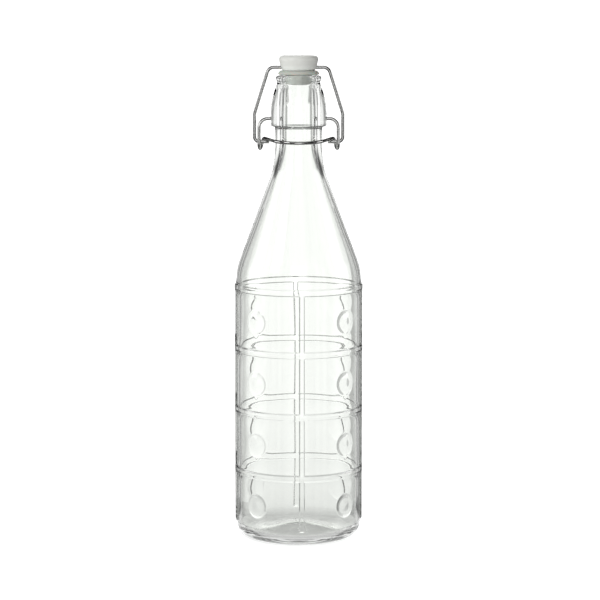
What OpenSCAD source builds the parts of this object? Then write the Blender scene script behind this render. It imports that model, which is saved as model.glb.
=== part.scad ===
// Swing-top glass bottle (growler) of about one litre.
// One piece of pressed-relief glass, a plastic stopper with a seal ring, and two
// bent steel wires: a bail that carries the stopper and a lever that pulls it down.
// Millimetres. +Z up, origin on the table at the middle of the base, lever bar at -Y.

/* [Bottle] */
// Radius of the round body between its ribs
body_r = 41.2; // [39:0.1:44]
// Width and height of the rounding from the base into the wall
heel = [9, 9]; // [6:0.1:11]
// Height at which the wall starts to curve into the shoulder
shoulder_z = 170; // [169:0.5:178]
// Slope of the straight shoulder, in degrees from upright
shoulder_slope = 20.4; // [18:0.1:23]
// Radius of the round between wall and shoulder, in profile
shoulder_round = 50; // [40:1:60]
// Radius of the hollow between shoulder and neck, in profile
neck_round = 60; // [45:1:75]
// Outer radius of the neck
neck_r = 15.6; // [14.5:0.1:16.5]
// Thickness of the glass in the wall
wall = 2.6; // [2.4:0.1:4]
// Thickness of the glass in the shoulder
shoulder_wall = 3; // [2.5:0.1:4]
// Height of the hollow under the base
push_up = 5; // [2:0.5:8]
// Thickness of the glass in the middle of the base
base_wall = 4.5; // [3:0.5:7]

/* [Relief] */
// How far the ribs stand out of the wall
rib_proud = 1.15; // [0.6:0.05:1.6]
// Height of a ring rib
ring_h = 4.6; // [3:0.1:6]
// Height of the lowest ring rib's middle
ring_z = 45.5; // [40:0.5:48]
// Distance from one ring rib to the next
ring_pitch = 40.7; // [38:0.1:40.7]
// Width of an upright rib
upright_w = 3.7; // [2:0.1:5]
// Height at which the upright ribs begin
upright_z = 9.3; // [9.1:0.1:20]
// Radius of a round boss
boss_r = 7.8; // [5:0.1:10]
// How far a boss stands out in its middle
boss_proud = 1.25; // [0.8:0.05:1.6]
// Turn of the relief against the closure, seen from above
relief_turn = 3; // [-15:1:15]

/* [Finish] */
// Height of the mouth's rim
mouth_z = 306.65; // [306:0.05:307]
// Radius of the bore through the neck
bore_r = 9.6; // [9.4:0.1:10.4]
// Radius of the bore at the mouth
mouth_r = 10.6; // [10.5:0.1:11]
// Radius of the bead's round edge
bead_round = 2.3; // [2:0.1:2.6]
// Outer radius of the bead round the mouth
bead_r = 15.05; // [14.6:0.05:15.5]
// Largest radius of the collar
collar_r = 18.5; // [18:0.1:19]
// Height of the collar's underside
collar_z = 273; // [271:0.5:274]
// Height up to which the collar is straight
collar_straight_z = 280; // [279.5:0.1:281]
// Radius of the collar's bulge, in profile
collar_bulge = 53.5; // [52:0.5:56]

/* [Closure] */
// Diameter of both wires
wire_d = 2.2; // [1.8:0.1:2.4]
// Gap all round a wire that turns in a hole
pin_gap = 0.09; // [0.05:0.01:0.1]
// Height of the lever's pivot in the collar
pivot_z = 278.1; // [277.5:0.1:279]
// How deep the pivot holes go into the collar
pivot_depth = 4.3; // [3:0.1:5]
// Distance from the middle to each lever arm
arm_x = 26; // [25.5:0.1:26.2]
// Radius of the bend from the pivot into the arm
arm_bend = 6; // [4:0.5:6.5]
// Height of the bail's lower ends, where the lever's eyes hold them
hook_z = 262.7; // [262:0.1:263.5]
// How far behind the pivot the bail's lower ends lie when closed
over_centre = 1.34; // [1:0.01:2]
// Radius of the hole in each lever eye
eye_r = 2.2; // [2:0.1:2.4]
// Radius of the lever's front bar round the neck
bar_r = 18.6; // [18.2:0.1:19.5]
// Half of the angle between the two halves of the bar
bar_splay = 27.6; // [26:0.1:29]
// Slope of the bar, down towards the front
bar_slope = 5.5; // [3:0.1:7]
// Height of the wire through the stopper
cross_z = 311.6; // [311.2:0.1:312]
// Distance from the middle to the bail's upper corners, before bending
bail_top_x = 19.5; // [18.5:0.1:20.5]
// Distance from the middle to each bail leg
leg_x = 29; // [28.8:0.1:30]
// Height of the bend between the slanted and the upright part of a leg
leg_kink_z = 281.2; // [279:0.1:283]
// Distance from the middle to the bail's cut ends
hook_end_x = 19.2; // [18.9:0.1:20]

/* [Stopper] */
// Height of the stopper's flat top
stopper_top_z = 319.4; // [318:0.1:321]
// Largest radius of the stopper
stopper_r = 12.85; // [12:0.05:13.5]
// Radius of the stopper's upper edge
stopper_round = 2.6; // [1.5:0.1:3]
// Radius of the stopper just above the seal ring
stopper_waist_r = 10.6; // [10:0.1:11]
// Radius of the plug below the seal ring
plug_r = 9; // [8.6:0.1:9.1]
// Height of the plug's lower face
plug_z = 299.2; // [299:0.1:302]
// Radius of the plug's lower edge
plug_round = 2.6; // [2:0.1:3]
// Outer radius of the seal ring
gasket_r = 13.5; // [13:0.1:14]
// Thickness of the seal ring
gasket_h = 2.5; // [2:0.1:3]
// Gap between the closed seal ring and the rim
seal_gap = 0.25; // [0.2:0.05:0.4]

/* [Hidden] */

wire_r = wire_d / 2;
rib_r = body_r + rib_proud;
rings = 4;
// each row of bosses sits half a pitch below a ring
boss_z = [for (i = [0:rings - 1]) ring_z + (i - 0.5) * ring_pitch];
base_ring_r = body_r - heel[0];
base_ring_w = 3.5;
bead_c = [bead_r - bead_round, mouth_z - bead_round];
lip_round = bead_c[0] - 0.1 - mouth_r;
bore_taper_z = 298;
groove_r = 7.5;
groove_gap = 0.05;
gasket_z = mouth_z + seal_gap;
gasket_top_z = gasket_z + gasket_h;
// each rod reaches this far into the bends at its ends, which are thicker by bend_extra
rod_entry = 0.2;
bend_extra = 0.015;
eye_mid_r = eye_r + wire_r;
eye_gap = 0.12;
eye_z = hook_z + wire_r + eye_gap - eye_r;

// ---- profiles ------------------------------------------------------------

// points on a circle about c from angle a0 to a1, in n steps
function arc(c, r, a0, a1, n) =
    [for (i = [0:n]) c + r * [cos(a0 + (a1 - a0) * i / n), sin(a0 + (a1 - a0) * i / n)]];

// height of a smooth mound of height h and radius r at distance x from its middle
function mound(h, r, x) = h * (1 + cos(180 * min(x / r, 1))) / 2;

// height at which the shoulder's straight line, set in by t along its normal, reaches radius r
function slope_z(r, t) = shoulder_z + shoulder_round * tan(shoulder_slope / 2)
    + (body_r - t / cos(shoulder_slope) - r) / tan(shoulder_slope);

// from the wall at radius r_wall, over the shoulder, to the neck at radius r_neck
function shoulder(r_wall, r_neck, t, round_wall, round_neck, n) =
    let (half = tan(shoulder_slope / 2))
    let (z_wall = slope_z(r_wall, t) - round_wall * half)
    let (z_neck = slope_z(r_neck, t) + round_neck * half)
    concat(
        arc([r_wall - round_wall, z_wall], round_wall, 0, shoulder_slope, n),
        arc([r_neck + round_neck, z_neck], round_neck, 180 + shoulder_slope, 180, n)
    );

base_outline = [for (i = [0:12]) let (x = (base_ring_r - base_ring_w) * i / 12)
    [x, mound(push_up, base_ring_r - base_ring_w, x)]];
heel_outline = [for (a = [0:7.5:90])
    [base_ring_r + heel[0] * sin(a), heel[1] * (1 - cos(a))]];
collar_low_round = 1.7;
collar_outline = concat(
    [[neck_r, collar_z]],
    arc([collar_r - collar_low_round, collar_z + collar_low_round], collar_low_round, -90, 0, 6),
    arc([collar_r - collar_bulge, collar_straight_z], collar_bulge, 0, 24.1, 12)
);
lip_outline = concat(
    arc(bead_c, bead_round, -60, 90, 14),
    arc([bead_c[0] - 0.1, mouth_z - lip_round], lip_round, 90, 180, 8)
);
inner_heel = [10, 10];
inner_r = body_r - wall;
inner_floor_r = inner_r - inner_heel[0];
inner_floor_z = push_up;
inner_heel_outline = [for (a = [90:-7.5:0])
    [inner_floor_r + inner_heel[0] * sin(a), inner_floor_z + inner_heel[1] * (1 - cos(a))]];
inner_base_outline = [for (i = [12:-1:0]) let (x = inner_floor_r * i / 12)
    [x, inner_floor_z + mound(base_wall, inner_floor_r, x)]];

function flipped(points) = [for (i = [len(points) - 1:-1:0]) points[i]];

bottle_outline = concat(
    base_outline,
    heel_outline,
    shoulder(body_r, neck_r, 0, shoulder_round, neck_round, 10),
    collar_outline,
    lip_outline,
    [[bore_r, bore_taper_z]],
    flipped(shoulder(inner_r, bore_r, shoulder_wall, shoulder_round - wall, neck_round, 10)),
    inner_heel_outline,
    inner_base_outline
);

// ---- bottle --------------------------------------------------------------

module ring_rib(z) {
    edge = 0.8;
    translate([0, 0, z])
        rotate_extrude($fn = 96)
            polygon(concat(
                [[body_r - 1, -ring_h / 2]],
                arc([rib_r - edge, edge - ring_h / 2], edge, -90, 0, 4),
                arc([rib_r - edge, ring_h / 2 - edge], edge, 0, 90, 4),
                [[body_r - 1, ring_h / 2]]
            ));
}

module upright_rib() {
    translate([0, 0, upright_z])
        linear_extrude(ring_z + (rings - 1) * ring_pitch - upright_z)
            intersection() {
                circle(r = rib_r - 0.05, $fn = 96);
                translate([body_r, 0]) square([4, upright_w], center = true);
            }
}

module boss(z) {
    dome_r = 30;
    translate([0, 0, z])
        rotate([0, 90, 0])
            intersection() {
                translate([0, 0, body_r - 2]) cylinder(h = 5, r = boss_r, $fn = 48);
                translate([0, 0, body_r + boss_proud - dome_r]) sphere(r = dome_r, $fn = 64);
            }
}

module pivot_hole() {
    translate([collar_r - pivot_depth, 0, pivot_z])
        rotate([0, 90, 0]) cylinder(h = pivot_depth + 2, r = wire_r + pin_gap, $fn = 32);
}

module bottle() {
    color([0.86, 0.93, 0.92, 0.4])
        difference() {
            union() {
                rotate_extrude($fn = 120) polygon(bottle_outline);
                for (i = [0:rings - 1]) ring_rib(ring_z + i * ring_pitch);
                for (side = [0:3]) rotate(relief_turn + 90 * side) {
                    upright_rib();
                    rotate(45) for (z = boss_z) boss(z);
                }
            }
            for (turn = [0, 180]) rotate(turn) pivot_hole();
        }
}

// ---- stopper and its seal ring ---------------------------------------------

stopper_outline = concat(
    [[0, plug_z]],
    arc([plug_r - 0.3 - plug_round, plug_z + plug_round], plug_round, -90, 0, 8),
    [[plug_r, gasket_z - 0.1]],
    [[groove_r, gasket_z - 0.1]],
    [[groove_r, gasket_top_z]],
    [[stopper_waist_r, gasket_top_z]],
    [[stopper_waist_r + 0.5, gasket_top_z + 1.1]],
    [[stopper_waist_r + 1.3, gasket_top_z + 3.2]],
    arc([stopper_r - stopper_round, stopper_top_z - stopper_round], stopper_round, -10, 90, 10),
    [[0, stopper_top_z]]
);

module stopper() {
    color([0.93, 0.94, 0.93])
        difference() {
            rotate_extrude($fn = 72) polygon(stopper_outline);
            translate([0, 0, cross_z])
                rotate([0, 90, 0]) cylinder(h = 40, r = wire_r + pin_gap, center = true, $fn = 32);
        }
}

module gasket() {
    edge = 0.7;
    color([0.85, 0.86, 0.84])
        rotate_extrude($fn = 72)
            polygon(concat(
                [[groove_r + groove_gap, gasket_z]],
                arc([gasket_r - edge, gasket_z + edge], edge, -90, 25, 8),
                [[gasket_r - 1.3, gasket_top_z]],
                [[groove_r + groove_gap, gasket_top_z]]
            ));
}

// ---- wires -----------------------------------------------------------------

function unit(v) = v / norm(v);
// angle by which a wire turns at corner b on its way from a to c
function turn_at(a, b, c) = acos(unit(b - a) * unit(c - b));
// distance from corner b to where its bend begins
function run_in(a, b, c, r) = r * tan(turn_at(a, b, c) / 2);

// straight wire from p to q
module rod(p, q) {
    d = q - p;
    translate(p)
        rotate([0, acos(d[2] / norm(d)), atan2(d[1], d[0])])
            cylinder(h = norm(d), r = wire_r, $fn = 48);
}

// the bend of radius r at corner b between a and c, a hair thicker than the rods that enter it
module elbow(a, b, c, r) {
    along = unit(b - a);
    turn = turn_at(a, b, c);
    inward = unit(unit(c - b) - along * cos(turn));
    middle = b - along * run_in(a, b, c, r) + inward * r;
    side = cross(-inward, along);
    multmatrix([
        [-inward[0], along[0], side[0], middle[0]],
        [-inward[1], along[1], side[1], middle[1]],
        [-inward[2], along[2], side[2], middle[2]],
        [0, 0, 0, 1]
    ])
        rotate_extrude(angle = turn, $fn = 72)
            translate([r, 0]) circle(r = wire_r + bend_extra, $fn = 48);
}

// a wire bent at each inner corner by that corner's radius
module bent_wire(corners, bends) {
    last = len(corners) - 1;
    run = [for (i = [0:last]) (i == 0 || i == last) ? 0
        : run_in(corners[i - 1], corners[i], corners[i + 1], bends[i])];
    for (i = [0:last - 1]) {
        along = unit(corners[i + 1] - corners[i]);
        into_start = i == 0 ? 0 : rod_entry;
        into_end = i == last - 1 ? 0 : rod_entry;
        rod(
            corners[i] + along * (run[i] - into_start),
            corners[i + 1] - along * (run[i + 1] - into_end)
        );
    }
    for (i = [1:last - 1])
        elbow(corners[i - 1], corners[i], corners[i + 1], bends[i]);
}

function mirrored(points) = [for (p = flipped(points)) [-p[0], p[1], p[2]]];

eye_bend = 3;
eye_back_y = over_centre + eye_mid_r;
eye_front_y = over_centre - eye_mid_r;
// the bar's corner in front of the neck, where its two straight halves would meet
bar_corner_y = -bar_r / sin(bar_splay);
eye_top_x = (eye_back_y - bar_corner_y) * tan(bar_splay);
eye_top_z = hook_z + wire_d + eye_gap + eye_mid_r * tan(bar_slope);
bar_corner_z = eye_top_z - (eye_back_y - bar_corner_y) * tan(bar_slope);
lever_half = [
    [collar_r - pivot_depth + 0.2, 0, pivot_z],
    [arm_x, 0, pivot_z],
    [arm_x, eye_front_y, eye_z - eye_mid_r],
    [(arm_x + eye_top_x) / 2, eye_back_y, eye_z - eye_mid_r],
    [eye_top_x, eye_back_y, eye_top_z]
];
lever_bends = [0, arm_bend, eye_bend, eye_bend, eye_bend];

module lever_wire() {
    color([0.72, 0.73, 0.75])
        bent_wire(
            concat(lever_half, [[0, bar_corner_y, bar_corner_z]], mirrored(lever_half)),
            concat(lever_bends, [bar_r], flipped(lever_bends))
        );
}

kink_y = over_centre * (cross_z - leg_kink_z) / (cross_z - hook_z);
bail_half = [
    [hook_end_x, over_centre, hook_z],
    [leg_x, over_centre, hook_z],
    [leg_x, kink_y, leg_kink_z],
    [bail_top_x, 0, cross_z]
];
bail_bends = [0, 3.4, 8, 4.6];

module bail_wire() {
    color([0.76, 0.77, 0.79])
        bent_wire(
            concat(bail_half, mirrored(bail_half)),
            concat(bail_bends, flipped(bail_bends))
        );
}

bottle();
stopper();
gasket();
bail_wire();
lever_wire();
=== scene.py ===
"""Swing-top glass bottle: pressed-relief glass, plastic stopper with seal ring, and two bent wires.
Lengths are in millimetres in the part's own frame: Z up, lever bar at -Y, base on the floor."""

import math

import bpy
import numpy as np
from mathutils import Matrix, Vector


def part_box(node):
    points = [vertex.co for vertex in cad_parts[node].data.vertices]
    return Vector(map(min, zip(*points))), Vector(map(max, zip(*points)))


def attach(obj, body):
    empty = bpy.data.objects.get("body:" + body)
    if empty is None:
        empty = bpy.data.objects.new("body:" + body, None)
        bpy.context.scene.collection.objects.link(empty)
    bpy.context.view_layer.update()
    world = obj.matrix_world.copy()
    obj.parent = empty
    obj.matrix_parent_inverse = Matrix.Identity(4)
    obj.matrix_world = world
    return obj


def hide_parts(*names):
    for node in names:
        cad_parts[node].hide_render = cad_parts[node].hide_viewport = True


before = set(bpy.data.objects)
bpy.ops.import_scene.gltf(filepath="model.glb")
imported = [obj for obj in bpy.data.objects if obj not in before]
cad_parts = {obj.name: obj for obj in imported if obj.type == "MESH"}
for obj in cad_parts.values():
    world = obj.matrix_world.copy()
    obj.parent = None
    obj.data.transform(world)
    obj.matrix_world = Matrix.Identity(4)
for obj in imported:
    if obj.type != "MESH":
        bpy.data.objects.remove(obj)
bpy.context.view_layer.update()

MM = 0.001
gasket_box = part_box("gasket")
bottle_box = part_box("bottle")
ORIGIN = Vector(
    (
        (gasket_box[0][0] + gasket_box[1][0]) / 2,
        (gasket_box[0][1] + gasket_box[1][1]) / 2,
        bottle_box[0][2],
    )
)

# ---- dimensions, as in the CAD but for the tighter inner_heel ------------------

body_r = 41.2
heel_w, heel_h = 9.0, 9.0
shoulder_z, shoulder_slope = 170.0, 20.4
shoulder_round, neck_round, neck_r = 50.0, 60.0, 15.6
wall, shoulder_wall = 2.6, 3.0
push_up, base_wall, base_ring_w = 5.0, 4.5, 3.5
rib_proud, ring_h, ring_z, ring_pitch, rings = 1.15, 4.6, 45.5, 40.7, 4
upright_w, upright_z = 3.7, 9.3
boss_r, boss_proud, relief_turn = 7.8, 1.25, 3.0
mouth_z, bore_r, mouth_r, bore_taper_z = 306.65, 9.6, 10.6, 298.0
bead_round, bead_r = 2.3, 15.05
collar_r, collar_z, collar_straight_z, collar_bulge = 18.5, 273.0, 280.0, 53.5
collar_low_round = 1.7
wire_r, pin_gap = 1.1, 0.09
pivot_z, pivot_depth, arm_x, arm_bend = 278.1, 4.3, 26.0, 6.0
hook_z, over_centre = 262.7, 1.34
eye_r, eye_gap, eye_bend = 2.2, 0.12, 3.0
bar_r, bar_splay, bar_slope = 18.6, 27.6, 5.5
cross_z, bail_top_x, leg_x, leg_kink_z, hook_end_x = 311.6, 19.5, 29.0, 281.2, 19.2
stopper_top_z, stopper_r, stopper_round, stopper_waist_r = 319.4, 12.85, 2.6, 10.6
plug_r, plug_z, plug_round = 9.0, 299.2, 2.6
gasket_r, gasket_h, seal_gap, groove_r = 13.5, 2.5, 0.25, 7.5
inner_heel = 5.5

boss_rows = [ring_z + (i - 0.5) * ring_pitch for i in range(rings)]
ring_rows = [ring_z + i * ring_pitch for i in range(rings)]
gasket_z = mouth_z + seal_gap
gasket_top_z = gasket_z + gasket_h


# ---- mesh helpers ----------------------------------------------------------------


def make_object(name, verts, faces, sharp=None):
    """Object from vertices in millimetres, smooth, with edges over the angle `sharp` kept crisp."""
    mesh = bpy.data.meshes.new(name)
    mesh.from_pydata([tuple(ORIGIN + Vector(v) * MM) for v in verts], [], faces)
    mesh.validate()
    mesh.polygons.foreach_set("use_smooth", [True] * len(mesh.polygons))
    if sharp:
        mesh.set_sharp_from_angle(angle=math.radians(sharp))
    obj = bpy.data.objects.new(name, mesh)
    bpy.context.collection.objects.link(obj)
    return obj


def arc(cx, cz, r, a0, a1, n):
    angles = np.radians(np.linspace(a0, a1, n + 1))
    return [(cx + r * math.cos(a), cz + r * math.sin(a)) for a in angles]


def stitch(faces, low, low_turn, high, high_turn):
    """Faces between two closed rows of vertices, each given by its indices and its angles from 0."""
    i = j = 0
    n, m = len(low), len(high)
    while i < n or j < m:
        next_low = low_turn[i + 1] if i + 1 < n else 360.0
        next_high = high_turn[j + 1] if j + 1 < m else 360.0
        if i < n and j < m and abs(next_low - next_high) < 1e-6:
            faces.append((low[i % n], low[(i + 1) % n], high[(j + 1) % m], high[j % m]))
            i, j = i + 1, j + 1
        elif j >= m or (i < n and next_low < next_high):
            faces.append((low[i % n], low[(i + 1) % n], high[j % m]))
            i += 1
        else:
            faces.append((low[i % n], high[(j + 1) % m], high[j % m]))
            j += 1


def turned(name, rows, closed=False, sharp=None):
    """Solid of revolution whose rows are (radii, height, angles); a single row point is a pole."""
    verts, faces, made = [], [], []
    for radii, z, turn in rows:
        first = len(verts)
        if radii is None:
            verts.append((0.0, 0.0, z))
        else:
            for r, a in zip(radii, np.radians(turn)):
                verts.append((r * math.cos(a), r * math.sin(a), z))
        made.append((list(range(first, len(verts))), list(turn)))
    pairs = list(zip(made[:-1], made[1:]))
    if closed:
        pairs.append((made[-1], made[0]))
    for (low, low_turn), (high, high_turn) in pairs:
        if len(low) == 1:
            n = len(high)
            faces += [(low[0], high[(k + 1) % n], high[k]) for k in range(n)]
        elif len(high) == 1:
            n = len(low)
            faces += [(low[k], low[(k + 1) % n], high[0]) for k in range(n)]
        else:
            stitch(faces, low, low_turn, high, high_turn)
    return make_object(name, verts, faces, sharp)


def plain_rows(profile, steps):
    turn = np.linspace(0, 360, steps, endpoint=False)
    return [
        (None, z, [0.0]) if r < 1e-6 else (np.full(steps, r), z, turn) for r, z in profile
    ]


def drilled(obj, holes, radius, steps=40):
    """Cuts round holes along X, each (x0, x1, z), with a closed cutter each."""
    for x0, x1, z in holes:
        ring = np.radians(np.linspace(0, 360, steps, endpoint=False))
        verts = [(x, radius * math.cos(a), z + radius * math.sin(a)) for x in (x0, x1) for a in ring]
        faces = [(k, (k + 1) % steps, steps + (k + 1) % steps, steps + k) for k in range(steps)]
        faces += [tuple(range(steps - 1, -1, -1)), tuple(range(steps, 2 * steps))]
        cutter = make_object("cutter", verts, faces)
        cut = obj.modifiers.new("hole", "BOOLEAN")
        cut.operation, cut.solver, cut.object = "DIFFERENCE", "MANIFOLD", cutter
        result = bpy.data.meshes.new_from_object(
            obj.evaluated_get(bpy.context.evaluated_depsgraph_get())
        )
        obj.modifiers.clear()
        obj.data = result
        bpy.data.objects.remove(cutter)


def tube(name, points, sides=28):
    """Round wire along the points, with its cut ends broken by a small chamfer."""
    pts = np.array(points)
    keep = [0] + [k for k in range(1, len(pts)) if np.linalg.norm(pts[k] - pts[k - 1]) > 1e-4]
    pts = pts[keep]
    ahead = np.gradient(pts, axis=0)
    ahead /= np.linalg.norm(ahead, axis=1)[:, None]
    side = np.cross(ahead[0], (0, 0, 1.0))
    side /= np.linalg.norm(side)
    rows = []
    chamfer = 0.22
    for k, (p, d) in enumerate(zip(pts, ahead)):
        side = side - d * (side @ d)
        side /= np.linalg.norm(side)
        up = np.cross(d, side)
        if k == 0:
            rows += [(p, side, up, wire_r - chamfer), (p + d * chamfer, side, up, wire_r)]
        elif k == len(pts) - 1:
            rows += [(p - d * chamfer, side, up, wire_r), (p, side, up, wire_r - chamfer)]
        else:
            rows.append((p, side, up, wire_r))
    verts, faces = [], []
    for p, s, u, r in rows:
        for a in np.linspace(0, 2 * math.pi, sides, endpoint=False):
            verts.append(p + (s * math.cos(a) + u * math.sin(a)) * r)
    for k in range(len(rows) - 1):
        for m in range(sides):
            n = (m + 1) % sides
            faces.append((k * sides + m, (k + 1) * sides + m, (k + 1) * sides + n, k * sides + n))
    faces.append(tuple(range(sides)))
    faces.append(tuple(range(len(verts) - 1, len(verts) - sides - 1, -1)))
    return make_object(name, verts, faces, 50)


def bent(corners, bends, step=0.7):
    """Points along a wire whose corners are rounded to the given radii."""
    corners = [np.array(c, float) for c in corners]
    out, at = [corners[0]], corners[0]
    for i in range(1, len(corners) - 1):
        before, here, after = corners[i - 1 : i + 2]
        d0 = (here - before) / np.linalg.norm(here - before)
        d1 = (after - here) / np.linalg.norm(after - here)
        turn = math.acos(max(-1.0, min(1.0, d0 @ d1)))
        start = here - d0 * bends[i] * math.tan(turn / 2)
        inward = d1 - d0 * (d0 @ d1)
        inward /= np.linalg.norm(inward)
        middle = start + inward * bends[i]
        n = max(1, round(np.linalg.norm(start - at) / (4 * step)))
        out += [at + (start - at) * k / n for k in range(1, n + 1)]
        n = max(6, round(bends[i] * turn / step))
        out += [
            middle - inward * bends[i] * math.cos(turn * k / n) + d0 * bends[i] * math.sin(turn * k / n)
            for k in range(1, n + 1)
        ]
        at = here + d1 * bends[i] * math.tan(turn / 2)
    n = max(1, round(np.linalg.norm(corners[-1] - at) / (4 * step)))
    return out + [at + (corners[-1] - at) * k / n for k in range(1, n + 1)]


def mirrored(points):
    return [(-p[0], p[1], p[2]) for p in reversed(points)]


def graded(lo, hi, coarse, spots):
    """Values from lo to hi, with a step of `fine` inside each (start, end, fine) and `coarse` elsewhere."""
    values, at = [lo], lo
    while at < hi - 1e-9:
        step = min([fine for a, b, fine in spots if a - 1e-9 <= at < b - 1e-9] + [coarse])
        ahead = [a for a, b, fine in spots if at + 1e-9 < a < at + step]
        at = min([at + step, hi] + ahead)
        values.append(at)
    return values


# ---- bottle ------------------------------------------------------------------------


def ease(x):
    x = np.clip(x, 0, 1)
    return x * x * x * (x * (6 * x - 15) + 10)


def soft_max(a, b, k):
    h = np.maximum(k - np.abs(a - b), 0) / k
    return np.maximum(a, b) + h * h * k / 4


def relief_parts(turn):
    """Distances at these angles (degrees) from the nearest upright rib and column of bosses."""
    a = (turn - relief_turn + 45) % 90 - 45
    across_rib = np.radians(a) * body_r
    b = (turn - relief_turn) % 90 - 45
    across_boss = np.radians(b) * body_r
    return across_rib, across_boss


def outer_relief(turn, z):
    across_rib, across_boss = relief_parts(turn)
    edge, foot, fullness = 1.1, 0.25, 0.55
    rise = np.zeros_like(turn)
    for zr in ring_rows:
        t = abs(z - zr)
        plateau = ease((ring_h / 2 + foot - t) / edge)
        rise = np.maximum(rise, plateau * (rib_proud - 0.1 + 0.1 * (1 - (t / ring_h * 2) ** 2)))
    along = ease((z - upright_z) / 1.6) * ease((ring_rows[-1] - z) / 0.5)
    t = np.abs(across_rib)
    crown = rib_proud - 0.08 - 0.06 * (t / upright_w * 2) ** 2
    upright = ease((upright_w / 2 + foot - t) / edge) * crown
    rise = soft_max(rise, upright * along, 0.25)
    for zb in boss_rows:
        if abs(z - zb) < boss_r + 1:
            t = np.hypot(across_boss, z - zb)
            dome = boss_proud * np.maximum(1 - (t / (boss_r + 0.1)) ** 2, 0) ** fullness
            rise = soft_max(rise, dome, 0.08)
    return rise


def inner_relief(turn, z):
    """The glass was blown outwards into the relief, so the inside follows it softly."""
    across_rib, across_boss = relief_parts(turn)
    give = 0.18 * np.exp(-((across_rib / 3.2) ** 2)) * ease((z - 8) / 14) * ease((172 - z) / 8)
    for zr in ring_rows:
        give = give + 0.6 * np.exp(-(((z - zr) / 2.7) ** 2))
    for zb in boss_rows:
        t = np.hypot(across_boss, z - zb)
        give = give + 0.5 * np.exp(-((t / 6.5) ** 2))
    wave = 0.05 * np.sin(np.radians(3 * turn) + z / 21) + 0.04 * np.sin(np.radians(5 * turn) - z / 13)
    return give + wave


def slope_z(r, t):
    s = math.radians(shoulder_slope)
    return shoulder_z + shoulder_round * math.tan(s / 2) + (body_r - t / math.cos(s) - r) / math.tan(s)


def shoulder(r_wall, r_neck, t, round_wall, round_neck, n):
    half = math.tan(math.radians(shoulder_slope / 2))
    z_wall = slope_z(r_wall, t) - round_wall * half
    z_neck = slope_z(r_neck, t) + round_neck * half
    low = arc(r_wall - round_wall, z_wall, round_wall, 0, shoulder_slope, n)
    high = arc(r_neck + round_neck, z_neck, round_neck, 180 + shoulder_slope, 180, n)
    between = [
        (low[-1][0] + (high[0][0] - low[-1][0]) * k / 6, low[-1][1] + (high[0][1] - low[-1][1]) * k / 6)
        for k in range(1, 6)
    ]
    return low + between + high


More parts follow.
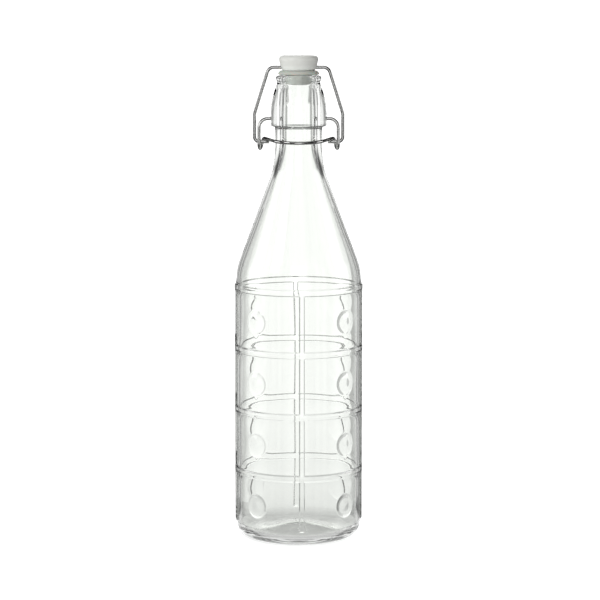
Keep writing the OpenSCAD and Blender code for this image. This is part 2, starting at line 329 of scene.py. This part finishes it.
def build_bottle():
    plain = np.linspace(0, 360, 144, endpoint=False)
    spots = []
    for side in range(4):
        rib = relief_turn + 90 * side
        spots += [(rib - 3.2, rib - 1.0, 0.42), (rib - 1.0, rib + 1.0, 0.7), (rib + 1.0, rib + 3.2, 0.42)]
        spots.append((rib + 45 - 11.6, rib + 45 + 11.6, 0.72))
    spots.append((359.8, 360.0, 0.42))
    fine = np.array(graded(0.0, 360.0, 2.6, spots)[:-1])

    ring_bottom = body_r - heel_w
    ring_inner = ring_bottom - base_ring_w
    base = [(0.0, push_up)]
    for x in np.linspace(0, ring_inner - 1.2, 14)[1:]:
        base.append((x, push_up * (1 + math.cos(math.pi * min(x / ring_inner, 1))) / 2))
    base += [(ring_inner - 0.5, 0.06), (ring_inner + 0.4, 0.0), (ring_bottom - 0.3, 0.0)]
    base += [
        (ring_bottom + heel_w * math.sin(a), heel_h * (1 - math.cos(a)))
        for a in np.radians(np.linspace(6, 90, 15))
    ]
    rows = plain_rows(base, len(plain))

    spots = [(upright_z, upright_z + 1.8, 0.45)]
    for zr in ring_rows:
        spots += [(zr - 2.7, zr - 1.3, 0.35), (zr - 1.3, zr + 1.3, 0.65), (zr + 1.3, zr + 2.7, 0.35)]
    spots += [(zb - boss_r - 0.5, zb + boss_r + 0.5, 0.56) for zb in boss_rows]
    top = shoulder_z + 0.9
    for z in graded(upright_z, top, 3.2, spots):
        radius = body_r - (0 if z <= shoulder_z else (z - shoulder_z) ** 2 / 2 / shoulder_round)
        rows.append((radius + outer_relief(fine, z), z, fine))

    upper = [p for p in shoulder(body_r, neck_r, 0, shoulder_round, neck_round, 18) if p[1] > top + 0.5]
    upper += [(neck_r, z) for z in np.linspace(upper[-1][1], collar_z - 1.2, 3)[1:]]
    upper += [(neck_r + 0.25, collar_z - 0.35), (neck_r + 0.9, collar_z)]
    upper += arc(collar_r - collar_low_round, collar_z + collar_low_round, collar_low_round, -90, 0, 8)
    upper += arc(collar_r - collar_bulge, collar_straight_z, collar_bulge, 0, 22.6, 22)
    bead_x, bead_z = bead_r - bead_round, mouth_z - bead_round
    upper += arc(bead_x, bead_z, bead_round, -52, 90, 20)
    lip = bead_x - 0.1 - mouth_r
    upper += arc(bead_x - 0.1, mouth_z - lip, lip, 90, 180, 10)
    upper += [(mouth_r - 0.35, 301.6), (bore_r + 0.12, bore_taper_z + 0.7), (bore_r, bore_taper_z - 1.5)]
    inner_r = body_r - wall
    inside = shoulder(inner_r, bore_r, shoulder_wall, shoulder_round - wall, neck_round, 16)[::-1]
    upper += [(bore_r, z) for z in np.linspace(bore_taper_z - 8, inside[0][1] + 3, 4)]
    upper += inside
    rows += plain_rows(upper, len(plain))

    floor_r = inner_r - inner_heel
    z = inside[-1][1]
    while z > push_up + inner_heel + 0.8:
        z -= 1.5
        rows.append((inner_r + inner_relief(plain, z), z, plain))
    last_z = z
    low = [
        (floor_r + inner_heel * math.sin(a), push_up + inner_heel * (1 - math.cos(a)))
        for a in np.radians(np.linspace(84, 0, 12))
    ]
    fade = [max(0.0, 1 - (last_z - p[1]) / 8) for p in low]
    for (r, z), f in zip(low, fade):
        rows.append((r + inner_relief(plain, last_z) * f, z, plain))
    floor = [
        (x, push_up + base_wall * (1 + math.cos(math.pi * x / floor_r)) / 2)
        for x in np.linspace(floor_r, 0, 14)[1:]
    ]
    rows += plain_rows(floor, len(plain))
    bottle = turned("bottle_glass", rows)
    reach = collar_r + 2
    depth = collar_r - pivot_depth
    drilled(bottle, [(depth, reach, pivot_z), (-reach, -depth, pivot_z)], wire_r + pin_gap)
    bottle.data.polygons.foreach_set("use_smooth", [True] * len(bottle.data.polygons))
    bottle.data.set_sharp_from_angle(angle=math.radians(62))
    return bottle


# ---- stopper, seal ring and wires ----------------------------------------------------


def build_stopper():
    profile = [(0.0, plug_z), (plug_r - 3.4, plug_z)]
    profile += arc(plug_r - 0.3 - plug_round, plug_z + plug_round, plug_round, -84, 0, 10)
    profile += [(plug_r, gasket_z - 0.55), (plug_r - 0.12, gasket_z - 0.2), (plug_r - 0.4, gasket_z - 0.1)]
    profile += [(groove_r + 0.05, gasket_z - 0.1), (groove_r, gasket_z - 0.02), (groove_r, gasket_top_z)]
    profile += [(stopper_waist_r - 0.35, gasket_top_z + 0.02), (stopper_waist_r - 0.06, gasket_top_z + 0.2)]
    profile += [(stopper_waist_r + 0.5, gasket_top_z + 1.1), (stopper_waist_r + 0.92, gasket_top_z + 2.15)]
    profile += [(stopper_waist_r + 1.3, gasket_top_z + 3.2), (stopper_waist_r + 1.75, gasket_top_z + 4.9)]
    profile += arc(stopper_r - stopper_round, stopper_top_z - stopper_round, stopper_round, -8, 86, 14)
    dish = 0.25
    flat_r = stopper_r - stopper_round
    profile += [
        (x, stopper_top_z - dish * (1 - (x / flat_r) ** 2) ** 2) for x in np.linspace(flat_r, 0, 8)
    ]
    stopper = turned("stopper_body", plain_rows(profile, 96))
    drilled(stopper, [(-collar_r, collar_r, cross_z)], wire_r + pin_gap)
    stopper.data.polygons.foreach_set("use_smooth", [True] * len(stopper.data.polygons))
    stopper.data.set_sharp_from_angle(angle=math.radians(48))
    return stopper


def build_gasket():
    edge, inside = 0.7, groove_r + 0.05
    profile = [(inside, gasket_top_z - 0.2), (inside, gasket_z + 0.2), (inside + 0.15, gasket_z)]
    profile += arc(gasket_r - edge, gasket_z + edge, edge, -90, 32, 12)
    profile += [(gasket_r - 0.75, gasket_top_z - 0.75), (gasket_r - 1.25, gasket_top_z - 0.12)]
    profile += [(gasket_r - 1.5, gasket_top_z), (inside + 0.15, gasket_top_z)]
    return turned("seal_ring", plain_rows(profile, 96), closed=True, sharp=60)


eye_mid_r = eye_r + wire_r
eye_z = hook_z + wire_r + eye_gap - eye_r
eye_back_y, eye_front_y = over_centre + eye_mid_r, over_centre - eye_mid_r
bar_corner_y = -bar_r / math.sin(math.radians(bar_splay))
eye_top_x = (eye_back_y - bar_corner_y) * math.tan(math.radians(bar_splay))
eye_top_z = hook_z + 2 * wire_r + eye_gap + eye_mid_r * math.tan(math.radians(bar_slope))
bar_corner_z = eye_top_z - (eye_back_y - bar_corner_y) * math.tan(math.radians(bar_slope))
lever_half = [
    (collar_r - pivot_depth + 0.2, 0, pivot_z),
    (arm_x, 0, pivot_z),
    (arm_x, eye_front_y, eye_z - eye_mid_r),
    ((arm_x + eye_top_x) / 2, eye_back_y, eye_z - eye_mid_r),
    (eye_top_x, eye_back_y, eye_top_z),
]
lever_bends = [0, arm_bend, eye_bend, eye_bend, eye_bend]
kink_y = over_centre * (cross_z - leg_kink_z) / (cross_z - hook_z)
bail_half = [
    (hook_end_x, over_centre, hook_z),
    (leg_x, over_centre, hook_z),
    (leg_x, kink_y, leg_kink_z),
    (bail_top_x, 0, cross_z),
]
bail_bends = [0, 3.4, 8, 4.6]

# ---- materials -----------------------------------------------------------------------


def material(name, **values):
    mat = bpy.data.materials.new(name)
    mat.use_nodes = True
    shader = mat.node_tree.nodes["Principled BSDF"]
    for key, value in values.items():
        shader.inputs[key.replace("_", " ")].default_value = value
    return mat, mat.node_tree, shader


def noise(tree, scale, detail, stretch=(1, 1, 1)):
    """Noise in object space; scale is in features per metre."""
    coords = tree.nodes.new("ShaderNodeTexCoord")
    mapping = tree.nodes.new("ShaderNodeMapping")
    mapping.inputs["Scale"].default_value = stretch
    tex = tree.nodes.new("ShaderNodeTexNoise")
    tex.inputs["Scale"].default_value = scale
    tex.inputs["Detail"].default_value = detail
    tree.links.new(coords.outputs["Object"], mapping.inputs["Vector"])
    tree.links.new(mapping.outputs["Vector"], tex.inputs["Vector"])
    return tex.outputs["Fac"]


def spread(tree, source, low, high):
    """Maps a noise value to the range low to high."""
    node = tree.nodes.new("ShaderNodeMapRange")
    node.inputs["From Min"].default_value = 0.3
    node.inputs["From Max"].default_value = 0.7
    node.inputs["To Min"].default_value = low
    node.inputs["To Max"].default_value = high
    tree.links.new(source, node.inputs["Value"])
    return node.outputs["Result"]


def bump(tree, shader, height, strength, distance):
    node = tree.nodes.new("ShaderNodeBump")
    node.inputs["Strength"].default_value = strength
    node.inputs["Distance"].default_value = distance
    tree.links.new(height, node.inputs["Height"])
    tree.links.new(node.outputs["Normal"], shader.inputs["Normal"])


def glass_material():
    mat, tree, shader = material("glass", Transmission_Weight=1.0, IOR=1.5)
    shader.inputs["Base Color"].default_value = (0.955, 0.968, 0.948, 1)
    tree.links.new(spread(tree, noise(tree, 90, 2), 0.0, 0.02), shader.inputs["Roughness"])
    bump(tree, shader, noise(tree, 42, 1.5, (1, 1, 0.45)), 0.1, 0.0006)
    clear = tree.nodes.new("ShaderNodeBsdfTransparent")
    clear.inputs["Color"].default_value = (0.93, 0.95, 0.94, 1)
    path = tree.nodes.new("ShaderNodeLightPath")
    mix = tree.nodes.new("ShaderNodeMixShader")
    out = tree.nodes["Material Output"]
    tree.links.new(path.outputs["Is Shadow Ray"], mix.inputs["Fac"])
    tree.links.new(shader.outputs["BSDF"], mix.inputs[1])
    tree.links.new(clear.outputs["BSDF"], mix.inputs[2])
    tree.links.new(mix.outputs["Shader"], out.inputs["Surface"])
    return mat


def plastic_material():
    mat, tree, shader = material("stopper_plastic", IOR=1.49, Subsurface_Weight=0.35, Subsurface_Scale=0.004)
    shader.inputs["Subsurface Radius"].default_value = (1.0, 0.95, 0.9)
    # Painted light and shade: one white plastic in two tones. The plug below the seal ring is painted
    # lighter to make up for the light the glass keeps from it. The stopper above is painted a darker grey
    # than its white plastic, as painted shade.
    low, high = (0.84, 0.86, 0.82), (0.54, 0.545, 0.52)
    coords = tree.nodes.new("ShaderNodeTexCoord")
    split = tree.nodes.new("ShaderNodeSeparateXYZ")
    # Height mask that blends from the painted-light plug tone up to the painted-shade upper tone.
    painted_light_height_mask = tree.nodes.new("ShaderNodeMapRange")
    painted_light_height_mask.inputs["From Min"].default_value = ORIGIN.z + (gasket_z - 0.4) * MM
    painted_light_height_mask.inputs["From Max"].default_value = ORIGIN.z + (gasket_top_z + 4.0) * MM
    mix = tree.nodes.new("ShaderNodeMix")
    mix.data_type = "RGBA"
    mix.inputs[6].default_value = (*low, 1)
    mix.inputs[7].default_value = (*high, 1)
    tree.links.new(coords.outputs["Object"], split.inputs["Vector"])
    tree.links.new(split.outputs["Z"], painted_light_height_mask.inputs["Value"])
    tree.links.new(painted_light_height_mask.outputs["Result"], mix.inputs[0])
    tree.links.new(mix.outputs[2], shader.inputs["Base Color"])
    tree.links.new(spread(tree, noise(tree, 700, 3), 0.28, 0.42), shader.inputs["Roughness"])
    bump(tree, shader, noise(tree, 1600, 3), 0.12, 0.0002)
    return mat


def rubber_material():
    mat, tree, shader = material("seal_rubber", IOR=1.45, Subsurface_Weight=0.3, Subsurface_Scale=0.003)
    shader.inputs["Base Color"].default_value = (0.4, 0.425, 0.385, 1)
    tree.links.new(spread(tree, noise(tree, 900, 3), 0.36, 0.52), shader.inputs["Roughness"])
    bump(tree, shader, noise(tree, 2200, 3), 0.18, 0.0002)
    return mat


def steel_material(name, tone):
    mat, tree, shader = material(name, Metallic=1.0)
    shader.inputs["Base Color"].default_value = (tone, tone, tone * 0.985, 1)
    tree.links.new(spread(tree, noise(tree, 500, 4), 0.1, 0.24), shader.inputs["Roughness"])
    bump(tree, shader, noise(tree, 1300, 3), 0.1, 0.00015)
    return mat


# ---- pieces ----------------------------------------------------------------------------


def finish_piece(obj, mat, node, body):
    obj.data.materials.clear()
    obj.data.materials.append(mat)
    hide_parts(node)
    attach(obj, body)


lever_points = bent(
    lever_half + [(0, bar_corner_y, bar_corner_z)] + mirrored(lever_half),
    lever_bends + [bar_r] + lever_bends[::-1],
)
bail_points = bent(bail_half + mirrored(bail_half), bail_bends + bail_bends[::-1])
finish_piece(build_bottle(), glass_material(), "bottle", "bottle")
finish_piece(build_stopper(), plastic_material(), "stopper", "stopper")
finish_piece(build_gasket(), rubber_material(), "gasket", "stopper")
bail_steel, lever_steel = steel_material("bail_steel", 0.5), steel_material("lever_steel", 0.55)
finish_piece(tube("bail", bail_points), bail_steel, "bail_wire", "bail")
finish_piece(tube("lever", lever_points), lever_steel, "lever_wire", "lever")

# ---- studio ------------------------------------------------------------------------------


def staged(name, verts, faces):
    obj = make_object(name, verts, faces)
    return obj


def emitter(name, tone):
    """Glow of one tone, or of the mesh's own tones if it is None."""
    mat = bpy.data.materials.new(name)
    mat.use_nodes = True
    tree = mat.node_tree
    tree.nodes.remove(tree.nodes["Principled BSDF"])
    glow = tree.nodes.new("ShaderNodeEmission")
    glow.inputs["Strength"].default_value = 1.0
    tree.links.new(glow.outputs["Emission"], tree.nodes["Material Output"].inputs["Surface"])
    if tone is None:
        attribute = tree.nodes.new("ShaderNodeAttribute")
        attribute.attribute_name = "tone"
        tree.links.new(attribute.outputs["Color"], glow.inputs["Color"])
    else:
        glow.inputs["Color"].default_value = (tone, tone, tone, 1)
    return mat


def glowing(name, verts, faces, tones):
    """A staged surface with these tones, which only mirrors and glass can see."""
    tent = staged(name, verts, faces)
    layer = tent.data.attributes.new("tone", "FLOAT_COLOR", "POINT")
    layer.data.foreach_set("color", np.repeat(np.array(tones), 4))
    mat = emitter(name, None)
    mat.cycles.emission_sampling = "NONE"
    tent.data.materials.append(mat)
    tent.visible_camera = tent.visible_diffuse = tent.visible_shadow = False
    return tent


def folded(turn):
    """Angle from the nearest of the four window directions."""
    return (turn + 45) % 90 - 45


def backdrop_tone(turn, reach, z):
    """What the glass lets through: four white windows, grey beside them, below and overhead, with the floor
    rows dimmed towards the bottle as painted shade round its foot.
    """
    a = math.radians(folded(turn))
    window_half = 34
    off = math.degrees(math.atan2(reach * abs(math.sin(a)) - window_half, reach * math.cos(a)))
    if a > 0:
        close = 1 - 0.58 * ease((off - 8.5) / 3.0) - 0.2 * ease((off - 24) / 14)
    else:
        close = 1 - 0.22 * ease((off - 3.5) / 6.0) - 0.36 * ease((off - 11) / 9.0)
        close = close - 0.2 * ease((off - 24) / 14)
    wide = 1 - 0.66 * ease((off - 19) / 7) + 0.5 * ease((off - 33) / 9)
    side = close + (wide - close) * ease((reach - 130) / 90)
    # Painted shade: the tone is dimmer close to the bottle, standing in for the shade on the floor round it.
    reaches, painted_shade_factors = (0, 44, 60, 100, 220, 460, 1000), (0.5, 0.54, 0.63, 0.77, 0.86, 0.94, 1.0)
    painted_shade_near = np.interp(reach, reaches, painted_shade_factors)
    high = 1 - 0.82 * ease((z - 390) / 240)
    behind_camera = 1 - 0.06 * ease((62 - abs(turn - 180)) / 12)
    band = 1 - 0.6 * ease((off - 13) / 4) * ease((29 - off) / 5) * ease((45 - z) / 45)
    return 1.2 * side * band * painted_shade_near * high * behind_camera


def card_tone(across):
    """Grey cards close beside the body, which its walls bend the view to."""
    if across > 0:
        return 0.6 - 0.3 * ease((across - 62) / 18) + 0.5 * ease((across - 84) / 14)
    left = -across
    return 0.98 - 0.2 * ease((left - 52) / 9) - 0.44 * ease((left - 62) / 20) + 0.46 * ease((left - 84) / 14)


def build_cards():
    """Upright cards at the right and left edge of each window, as high as the shoulder."""
    gap, low, high = 100.0, -0.5, 238.0
    verts, faces, tones = [], [], []
    steps = 16
    for quarter in range(4):
        turn = math.radians(90 * quarter)
        c, s = math.cos(turn), math.sin(turn)
        for lo, hi in ((53.0, gap), (-gap, -50.0)):
            first = len(verts)
            for z in (low, high):
                for k in range(steps + 1):
                    x = lo + (hi - lo) * k / steps
                    verts.append((x * c + gap * s, gap * c - x * s, z))
                    tones.append(float(card_tone(x)))
            for k in range(steps):
                m = first + k
                faces.append((m, m + 1, m + steps + 2, m + steps + 1))
    return glowing("cards", verts, faces, tones)


def mirror_tone(turn, reach, z):
    """What metal and glass reflect: white strips on dark, and a round light overhead."""
    if z > 850:
        return 0.05 + 1.3 * ease((240 - reach) / 80)
    a = abs(folded(turn))
    strip = ease((17 - a) / 5)
    return 0.03 + (1.9 * strip if z > 90 else 0.12)


def build_tent(name, tone, rows):
    """Surroundings of revolution through these (radius, height) rows, toned by place."""
    turns = np.linspace(0, 360, 360, endpoint=False)
    n = len(turns)
    verts, faces, tones = [], [], []
    for r, z in rows:
        for a in turns:
            verts.append((r * math.sin(math.radians(a)), r * math.cos(math.radians(a)), z))
            tones.append(float(tone(a, r, z)))
    for k in range(len(rows) - 1):
        for m in range(n):
            p = (m + 1) % n
            faces.append((k * n + m, k * n + p, (k + 1) * n + p, (k + 1) * n + m))
    return glowing(name, verts, faces, tones)


def build_floor():
    half = 60000
    corners = [(-half, -half, 0), (half, -half, 0), (half, half, 0), (-half, half, 0)]
    floor = staged("floor", corners, [(0, 1, 2, 3)])
    mat, tree, shader = material("floor", Roughness=0.7)
    shader.inputs["Base Color"].default_value = (0.8, 0.8, 0.8, 1)
    shader.inputs["Specular IOR Level"].default_value = 0.0
    shader.inputs["Emission Color"].default_value = (1, 1, 1, 1)
    shader.inputs["Emission Strength"].default_value = 0.55
    mat.cycles.emission_sampling = "NONE"
    floor.data.materials.append(mat)
    floor.visible_transmission = False
    return floor


backdrop_r, room_r, room_top = 1300, 1250, 860
backdrop = build_tent(
    "backdrop",
    backdrop_tone,
    [(r, -0.5) for r in (1, 30, 44, 60, 80, 100, 130, 150, 175, 195, 220, 320, 460, backdrop_r)]
    + [(backdrop_r, z) for z in (45, 390, 450, 510, 570, 630, 1400)]
    + [(10, 1400)],
)
backdrop.visible_glossy = False
mirrored_room = build_tent(
    "mirrored_room",
    mirror_tone,
    [(70, 0.7)]
    + [(room_r, z) for z in (0.7, 80, 100, 840)]
    + [(r, room_top) for r in (room_r, 420, 240, 213, 187, 160, 10)],
)
mirrored_room.visible_transmission = False
build_cards().visible_glossy = False
flag_corners = [(150, -160, 240), (150, 160, 240), (150, 160, 430), (150, -160, 430)]
flag = staged("flag", flag_corners, [(0, 1, 2, 3)])
flag.data.materials.append(emitter("flag", 0.0))
flag.visible_camera = flag.visible_glossy = flag.visible_transmission = False
build_floor()

world = bpy.data.worlds.new("studio")
world.use_nodes = True
world.node_tree.nodes["Background"].inputs["Color"].default_value = (1, 1, 1, 1)
world.node_tree.nodes["Background"].inputs["Strength"].default_value = 1.0
bpy.context.scene.world = world


def area(name, place, target, size, power):
    light = bpy.data.lights.new(name, "AREA")
    light.shape, light.size, light.size_y, light.energy = "RECTANGLE", size[0], size[1], power
    obj = bpy.data.objects.new(name, light)
    obj.location = ORIGIN + Vector(place) * MM
    aim = Vector(target) * MM - Vector(place) * MM
    obj.rotation_euler = aim.to_track_quat("-Z", "Y").to_euler()
    bpy.context.collection.objects.link(obj)


area("key", (-700, -650, 800), (0, 0, 250), (0.35, 0.7), 3.0)

camera_place, camera_down = (0.9, -1650, 380), 7.665
camera = bpy.data.cameras.new("camera")
camera.lens = 150.8
camera.sensor_width = 36
camera.clip_start, camera.clip_end = 0.05, 200
eye = bpy.data.objects.new("camera", camera)
eye.location = ORIGIN + Vector(camera_place) * MM
eye.rotation_euler = (math.radians(90 - camera_down), 0, 0)
bpy.context.collection.objects.link(eye)
bpy.context.scene.camera = eye

scene = bpy.context.scene
scene.view_settings.view_transform = "Standard"
scene.cycles.max_bounces = 28
scene.cycles.transmission_bounces = 24
scene.cycles.glossy_bounces = 8
scene.cycles.transparent_max_bounces = 24
scene.cycles.caustics_reflective = False
scene.cycles.caustics_refractive = True
scene.cycles.sample_clamp_indirect = 4
